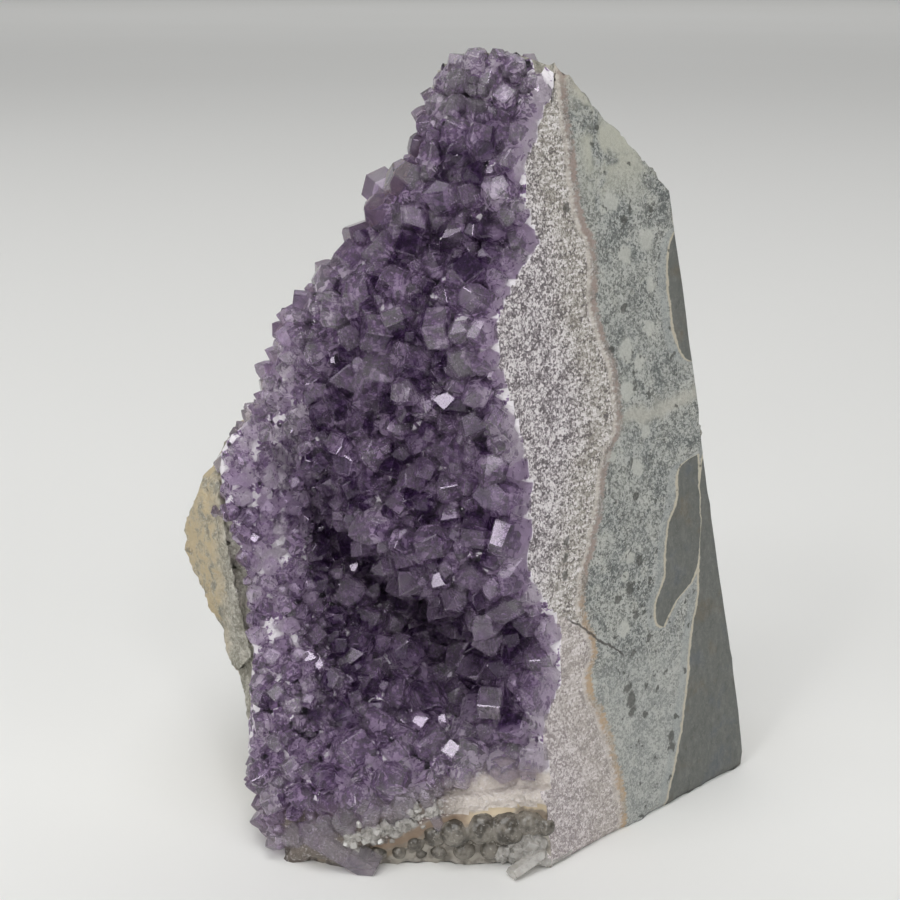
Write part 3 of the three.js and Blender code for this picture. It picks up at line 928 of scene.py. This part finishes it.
def grey_layer(f, clots):
    colour = f.between(f.swirl, 0.40, 0.60, (126, 130, 128), (158, 160, 155))
    colour = f.washed(
        colour, (f.blotch, 0.54, 0.64, 0.75, (176, 177, 170)),
        (f.speck, 0.93, 1.06, 0.6, (204, 205, 201)),
        (f.speck, 0.90, 0.74, 0.7, (74, 77, 76)))
    # A pale vein right across, and the paler lower part
    vein = f.minus(f.height, f.plus(f.times(f.across, 0.09), 69.2))
    vein = f.math("ABSOLUTE", f.plus(vein, f.times(f.wander, 6.0)))
    vein = f.times(f.step(vein, 2.4, 0.3), f.step(f.agate, -1.0, 3.0))
    colour = f.over(colour, vein, 0.7, rgb(190, 188, 178))
    colour = f.washed(colour, (f.height, 36.0, 24.0, 0.35, (186, 188, 184)))
    # Pale greenish patch under the top
    patch = f.times(f.step(f.height, 104.0, 116.0), f.step(f.agate, 0.5, 5.0))
    patch = f.times(patch, f.step(f.swirl, 0.34, 0.56))
    colour = f.over(colour, patch, 0.85, rgb(190, 190, 177))
    return f.over(colour, clots, 0.75, rgb(196, 197, 190))


def agate_lines(f, colour):
    """The agate itself: a pale line, then a pinkish brown one, both worn in places."""
    worn = f.plus(0.35, f.times(f.step(f.blotch, 0.40, 0.60), 0.5))
    pale = f.band(f.agate, -1.2, -0.1, 0.3)
    colour = f.over(colour, pale, worn, rgb(206, 199, 191))
    brown = f.between(f.height, 52.0, 34.0, (158, 140, 132), (186, 156, 120))
    stripe = f.band(f.plus(f.agate, f.times(f.streaks, 0.5)), 0.0, 1.5, 0.4)
    return f.over(colour, stripe, worn, brown)


def crack_with_painted_shadow(f, colour):
    """A crack that falls across the agate, with a paler layer under it; its dark line is a painted
    shadow along the step.
    """
    depth = f.plus(f.minus(f.height, 45.4), f.times(f.across, 0.735))
    depth = f.plus(depth, f.times(f.wander, 5.0))
    below = f.times(f.step(depth, 0.2, -0.4), f.step(f.agate, 1.5, -2.5))
    colour = f.over(colour, below, 0.35, rgb(204, 192, 190))
    there = f.band(f.across, 6.0, 19.0, 1.0)
    # Painted shadow: the step of the crack drawn as a dark line
    line = f.times(f.band(depth, -0.35, 0.25, 0.14), there)
    return f.over(colour, line, 0.8, rgb(60, 54, 52))


def face_basalt(f):
    stain = f.noise(9.0, 3.0, 0.6)
    squashed = f.add("ShaderNodeMapping", {
        "Vector": f.place, "Rotation": (0.0, 0.25, 0.0), "Scale": (1.0, 1.0, 0.6)})
    brushed = f.noise(1.4, 4.0, 0.7, place=squashed.outputs[0])
    return f.washed(
        rgb(104, 106, 102), (stain, 0.52, 0.68, 0.6, (112, 102, 84)),
        (stain, 0.44, 0.32, 0.5, (94, 100, 108)), (brushed, 0.50, 0.66, 0.35, (132, 133, 128)),
        (brushed, 0.48, 0.34, 0.35, (78, 79, 76)), (f.speck, 0.95, 1.2, 0.3, (136, 137, 134)))


def sawn_side():
    f = SawnSide()
    shaken = shaken_places(f)
    clots = f.spots(shaken, CLOTS)
    colour = f.mix(f.step(f.agate, -0.6, 0.8), face_quartz(f), grey_layer(f, clots))
    cap = f.plus(f.height, f.times(f.wander, 8.0))
    colour = f.washed(colour, (cap, 123.0, 129.0, 0.75, (212, 203, 188)))
    colour = crack_with_painted_shadow(f, agate_lines(f, colour))
    # Basalt with its pale rim
    rim = f.band(f.basalt_depth, -2.6, -0.5, 0.6)
    colour = f.over(colour, rim, 0.55, rgb(164, 168, 167))
    edge = f.band(f.basalt_depth, -0.55, 0.05, 0.15)
    colour = f.over(colour, edge, 0.85, rgb(198, 190, 170))
    in_basalt = f.step(f.basalt_depth, -0.05, 0.2)
    colour = f.mix(in_basalt, colour, face_basalt(f))
    # Small pits in the grey layer, sunk by the bump and darkened as painted shade
    grey_only = f.times(f.step(f.agate, 2.0, 5.0), f.minus(1.0, in_basalt))
    pits_and_painted_shade = f.times(f.step(f.noise(1.9, 2.0, 0.6), 0.36, 0.30), grey_only)
    pits_and_painted_shade = f.math("MAXIMUM", pits_and_painted_shade, f.spots(shaken, PITS))
    colour = f.over(colour, pits_and_painted_shade, 0.75, rgb(70, 70, 66))
    relief = f.minus(f.speck, f.times(pits_and_painted_shade, 2.0))
    relief = f.plus(relief, f.times(clots, 1.2))
    rough_part = f.minus(1.0, f.times(in_basalt, 0.85))
    return f.close(colour, 0.68, f.bump(f.times(relief, rough_part), 0.4, 0.25))


def outer_stone():
    """The outside: broken matrix at the front and left, ground basalt behind."""
    f = Finish("outer_stone")
    large, mid, small = f.noise(14.0, 4.0, 0.65), f.noise(3.2, 4.0, 0.7), f.noise(0.5, 3.0, 0.7)
    stained = f.step(f.plus(large, f.times(mid, 0.5)), 0.80, 0.90)
    matrix = f.between(mid, 0.42, 0.60, (146, 143, 131), (192, 188, 177))
    matrix = f.over(matrix, stained, 0.75, rgb(182, 160, 122))
    matrix = f.washed(matrix, (small, 0.53, 0.64, 0.6, (222, 218, 208)),
                      (small, 0.46, 0.36, 0.5, (104, 99, 90)))
    wing_tip = f.step(f.axis("X"), -41.0, -46.0)
    matrix = f.over(matrix, wing_tip, f.step(mid, 0.35, 0.6), rgb(196, 180, 148))
    basalt = f.between(mid, 0.38, 0.62, (84, 87, 86), (106, 107, 102))
    basalt = f.over(basalt, stained, 0.55, rgb(112, 101, 82))
    basalt = f.washed(basalt, (small, 0.55, 0.68, 0.45, (142, 144, 140)),
                      (small, 0.44, 0.32, 0.5, (56, 58, 57)))
    in_matrix = f.step(f.plus(f.attribute("broken"), f.minus(mid, 0.5)), 0.44, 0.50)
    chips = f.plus(f.times(mid, 2.0), small)
    relief = f.times(chips, f.plus(f.times(in_matrix, 0.8), 0.2))
    return f.close(f.mix(in_matrix, basalt, matrix), 0.72, f.bump(relief, 0.8, 0.6))


def quartz_skin():
    """The druse that the crystals grow from: cells from near black to milky, paler at the rims, a
    little paler on the low front as painted light, with fine white glints painted in as highlights.
    """
    f = Finish("quartz_skin")
    cells = f.add("ShaderNodeTexVoronoi", {"Vector": f.place, "Scale": 1 / 1.3})
    cell = f.add("ShaderNodeSeparateColor", {0: cells.outputs["Color"]}).outputs[0]
    mid, small, veil = f.noise(3.0, 3.0, 0.6), f.noise(0.5, 3.0, 0.6), f.noise(1.5, 4.0, 0.7)
    tone = f.plus(f.times(cell, 0.4), f.times(mid, 0.7))
    tone = f.plus(tone, f.times(veil, 1.1))
    # The paleness carries a little painted light on the low front as well as the rims' own colour
    tone = f.plus(f.minus(tone, 0.66), f.times(f.attribute("pale"), 0.5))
    colour = f.between(tone, 0.27, 0.54, (16, 9, 22), (140, 113, 153))
    colour = f.mix(f.step(tone, 0.54, 0.63), colour, rgb(248, 243, 248))
    # Painted highlights: fine white specks laid in the colour as glints
    colour = f.mix(f.step(small, 0.62, 0.68), colour, rgb(250, 246, 250))
    # Along the foot: brown-grey chalcedony on the left, white and cream quartz on the right
    across = f.axis("X")
    foot = f.between(across, -7.0, 1.0, (120, 110, 102), (216, 206, 198))
    foot = f.washed(foot, (small, 0.54, 0.66, 0.7, (236, 230, 230)))
    low = f.minus(f.plus(f.axis("Z"), f.times(mid, 7.0)), f.times(across, 0.22))
    colour = f.mix(f.step(low, 19.0, 16.5), colour, foot)
    relief = f.plus(cells.outputs["Distance"], small)
    return f.close(colour, 0.28, f.bump(relief, 0.8, 0.8))


def chalcedony():
    f = Finish("chalcedony")
    mid, small = f.noise(2.5, 3.0, 0.6), f.noise(0.5, 2.0, 0.6)
    colour = f.between(mid, 0.38, 0.62, (84, 79, 72), (146, 140, 130))
    colour = f.washed(colour, (small, 0.58, 0.7, 0.4, (206, 200, 190)))
    return f.close(colour, 0.18, f.bump(small, 0.12, 0.2), IOR=1.54, Transmission_Weight=0.3)


def clear_quartz():
    f = Finish("clear_quartz")
    mid = f.noise(1.4, 3.0, 0.6)
    colour = f.between(mid, 0.38, 0.62, (214, 210, 204), (244, 241, 236))
    return f.close(colour, 0.08, f.bump(mid, 0.1, 0.2), IOR=QUARTZ_IOR, Transmission_Weight=0.55)


# The brown agate band along the front's foot, as (x from the left end of its reach, height)
BAND_LEFT = -40.0
BAND_WIDTH = 80.0
BAND_HEIGHT = 20.0
FRONT_BAND = (
    (0, 0.5), (16, 2.4), (28, 4.8), (35.6, 8.2), (41.4, 9), (44.9, 9.7), (49.9, 11), (56, 10.4),
    (80, 10))


def front_foot():
    """The broken foot of the front: grey chalcedony under a brown and cream band."""
    f = Finish("front_foot")
    across = f.axis("X")
    line = f.drawn(f.plus(across, -BAND_LEFT), FRONT_BAND, BAND_WIDTH, BAND_HEIGHT)
    wander = f.times(f.minus(f.noise(3.0, 3.0), 0.5), 2.4)
    above = f.plus(f.minus(f.axis("Z"), line), wander)
    mid, small = f.noise(2.2, 3.0, 0.6), f.noise(0.45, 2.0, 0.6)
    grey = f.between(mid, 0.4, 0.62, (122, 116, 108), (168, 162, 152))
    white = f.between(small, 0.42, 0.6, (190, 180, 180), (232, 226, 224))
    crumbs = f.between(small, 0.50, 0.62, (118, 102, 96), (222, 214, 210))
    right = f.step(f.plus(across, f.times(mid, 4.0)), -1.0, 4.0)
    colour = f.mix(f.step(above, 0.6, 1.6), grey, f.mix(right, crumbs, white))
    band = f.mix(right, rgb(140, 118, 98), rgb(206, 188, 158))
    colour = f.over(colour, f.band(above, -0.9, 0.9, 0.4), 0.85, band)
    colour = f.over(colour, f.band(above, -2.4, -1.1, 0.4), 0.6, rgb(136, 118, 98))
    return f.close(colour, 0.42, f.bump(f.noise(0.7, 4.0, 0.65), 0.45, 0.3))


def amethyst():
    """Clear violet quartz, deeper in the hollow and white at the rims and feet, with painted light
    paling the low front and the left outline.
    """
    f = Finish("amethyst")
    cloud = f.times(f.minus(f.noise(3.0, 1.0, 0.5), 0.5), 0.9)
    # pale is partly the crystals' own paleness and partly painted light on the low front and the
    # left outline
    depth = f.plus(f.plus(f.attribute("shade"), cloud), f.times(f.attribute("pale"), 0.95))
    colour = f.between(depth, 0.05, 0.6, (86, 62, 104), (206, 184, 216))
    colour = f.mix(f.step(depth, 0.6, 1.15), colour, rgb(242, 235, 243))
    colour = f.washed(colour, (f.attribute("rise"), 0.30, 0.0, 0.4, (238, 230, 238)))
    rough = f.plus(0.02, f.times(f.attribute("frost"), 0.10))
    material = f.close(colour, rough, IOR=QUARTZ_IOR, Transmission_Weight=0.85,
                       Specular_IOR_Level=0.8, Specular_Tint=(0.94, 0.84, 1.0, 1.0))
    haze = f.add("ShaderNodeVolumeAbsorption", {"Color": (0.47, 0.31, 0.56, 1.0), "Density": 80.0})
    f.tree.links.new(haze.outputs[0], f.out.inputs["Volume"])
    return material


# The studio

def lay_floor():
    deselect()
    bpy.ops.mesh.primitive_circle_add(vertices=96, radius=30, fill_type="NGON", location=(0, 0, 0))
    floor = bpy.context.object
    floor.name = "studio_floor"
    f = Finish("floor_paper")
    spread = f.noise(900.0, 1.0)
    colour = f.mix(spread, rgb(236, 236, 233), rgb(240, 240, 238))
    floor.data.materials.append(f.close(colour, 0.6))


def hang_light(name, place, aim, size, watts):
    lamp = bpy.data.lights.new(name, "AREA")
    lamp.shape = "RECTANGLE"
    lamp.size, lamp.size_y = size
    lamp.energy = watts
    holder = bpy.data.objects.new(name, lamp)
    bpy.context.collection.objects.link(holder)
    holder.location = place
    holder.rotation_euler = (Vector(aim) - Vector(place)).to_track_quat("-Z", "Y").to_euler()


# Small bright panels in front, for the glints on the crystals' facets
SPARKLES = (
    (-0.9, -1.2, 1.4), (-0.2, -1.5, 1.5), (0.45, -1.35, 1.0), (-0.85, -1.6, 0.5),
    (0.25, -1.8, 0.55))


def light_studio():
    world = bpy.data.worlds.new("studio")
    bpy.context.scene.world = world
    world.use_nodes = True
    tree = world.node_tree
    backdrop = tree.nodes["Background"]
    backdrop.inputs["Color"].default_value = (0.80, 0.80, 0.79, 1)
    # Bright at the horizon, dim above it, so that facets have something dark to mirror
    way = tree.nodes.new("ShaderNodeTexCoord")
    split = tree.nodes.new("ShaderNodeSeparateXYZ")
    fade = tree.nodes.new("ShaderNodeMapRange")
    for name, value in (("From Min", 0.02), ("From Max", 0.25), ("To Min", 0.55), ("To Max", 0.05)):
        fade.inputs[name].default_value = value
    tree.links.new(way.outputs["Generated"], split.inputs[0])
    tree.links.new(split.outputs["Z"], fade.inputs["Value"])
    tree.links.new(fade.outputs[0], backdrop.inputs["Strength"])
    middle = (0, 0, 0.065)
    hang_light("ceiling_panel", (-0.1, -0.5, 2.2), (0, -0.1, 0), (1.6, 1.6), 25.0)
    hang_light("backdrop_panel", (0, 6.0, 4.2), (0, 6.2, 0), (14.0, 8.0), 310.0)
    hang_light("window_left", (-1.2, -0.8, 0.8), middle, (1.0, 1.0), 5.5)
    for number, place in enumerate(SPARKLES):
        hang_light(f"sparkle_{number}", place, middle, (0.22, 0.36), 2.4)
    hang_light("fill_right", (1.7, -1.3, 0.9), middle, (1.0, 1.0), 5.0)
    hang_light("rim_left", (-1.4, 0.7, 0.8), middle, (0.5, 0.8), 1.5)


CAMERA_ANGLE = 32
CAMERA_DOWN = 17
CAMERA_TARGET = (-3.60, -10.46, 66.0)
CAMERA_REACH = 265.99


def set_camera():
    """The photograph's view: looking down a little, straight along the depth."""
    lens = bpy.data.cameras.new("photo_camera")
    lens.sensor_fit = "AUTO"
    lens.angle = math.radians(CAMERA_ANGLE)
    lens.clip_start, lens.clip_end = 0.01, 100
    camera = bpy.data.objects.new("photo_camera", lens)
    bpy.context.collection.objects.link(camera)
    down, reach = math.radians(CAMERA_DOWN), CAMERA_REACH * MM
    target = Vector(CAMERA_TARGET) * MM
    camera.location = target + Vector((0, -math.cos(down), math.sin(down))) * reach
    camera.rotation_euler = (math.pi / 2 - down, 0, 0)
    bpy.context.scene.camera = camera


def dress():
    set_camera()
    crust_tree = tree_of(frame["nodes"]["crystal_crust"])
    stone, crust = build_stone(crust_tree)
    stone_zones(stone, crust)
    draw = np.random.default_rng(CRYSTAL_SEED)
    templates = [crystal_template(k, draw) for k in range(TEMPLATES)]
    crystals = build_crystals(stone, crust, templates, draw)
    stone_tree = tree_of(stone)
    beads = build_beads(stone_tree)
    tufts = build_tufts(stone_tree, templates, draw)
    for piece, node, slot in (
            (stone, "rock_matrix", "geode_rock"), (beads, "rock_matrix", "geode_rock"),
            (tufts, "rock_matrix", "geode_rock"), (crystals, "crystal_crust", "amethyst")):
        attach(piece, "root")
        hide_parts(node)
    lay_floor()
    light_studio()
    bpy.context.scene.view_settings.view_transform = "Standard"


dress()
